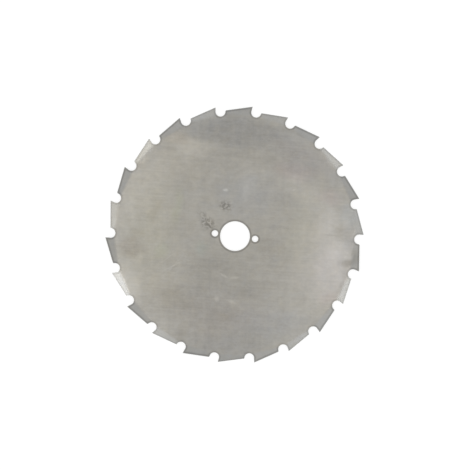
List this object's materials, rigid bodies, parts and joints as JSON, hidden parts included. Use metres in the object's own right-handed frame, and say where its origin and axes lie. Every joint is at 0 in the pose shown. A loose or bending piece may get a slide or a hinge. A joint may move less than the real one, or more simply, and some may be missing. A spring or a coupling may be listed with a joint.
{
  "type": "brush cutter blade",
  "caption": "Flat round saw blade for a brush cutter: alternately set hooked teeth with round gullets, a central arbor bore and small pin holes beside it.",
  "frame": {"origin": "on the axis of the arbor bore, at the middle of the plate's thickness", "axes": "+Z along the bore's axis, out of the face seen in the picture, from which the tooth points look clockwise; +X through the centre of one of the two pin holes"},
  "size_m": [0.2178, 0.22, 0.0038],
  "materials": {
    "steel": "ground satin steel sheet with faint straight grinding lines and handling stains"
  },
  "bodies": {
    "root": {"blade": "steel"}
  },
  "joints": []
}
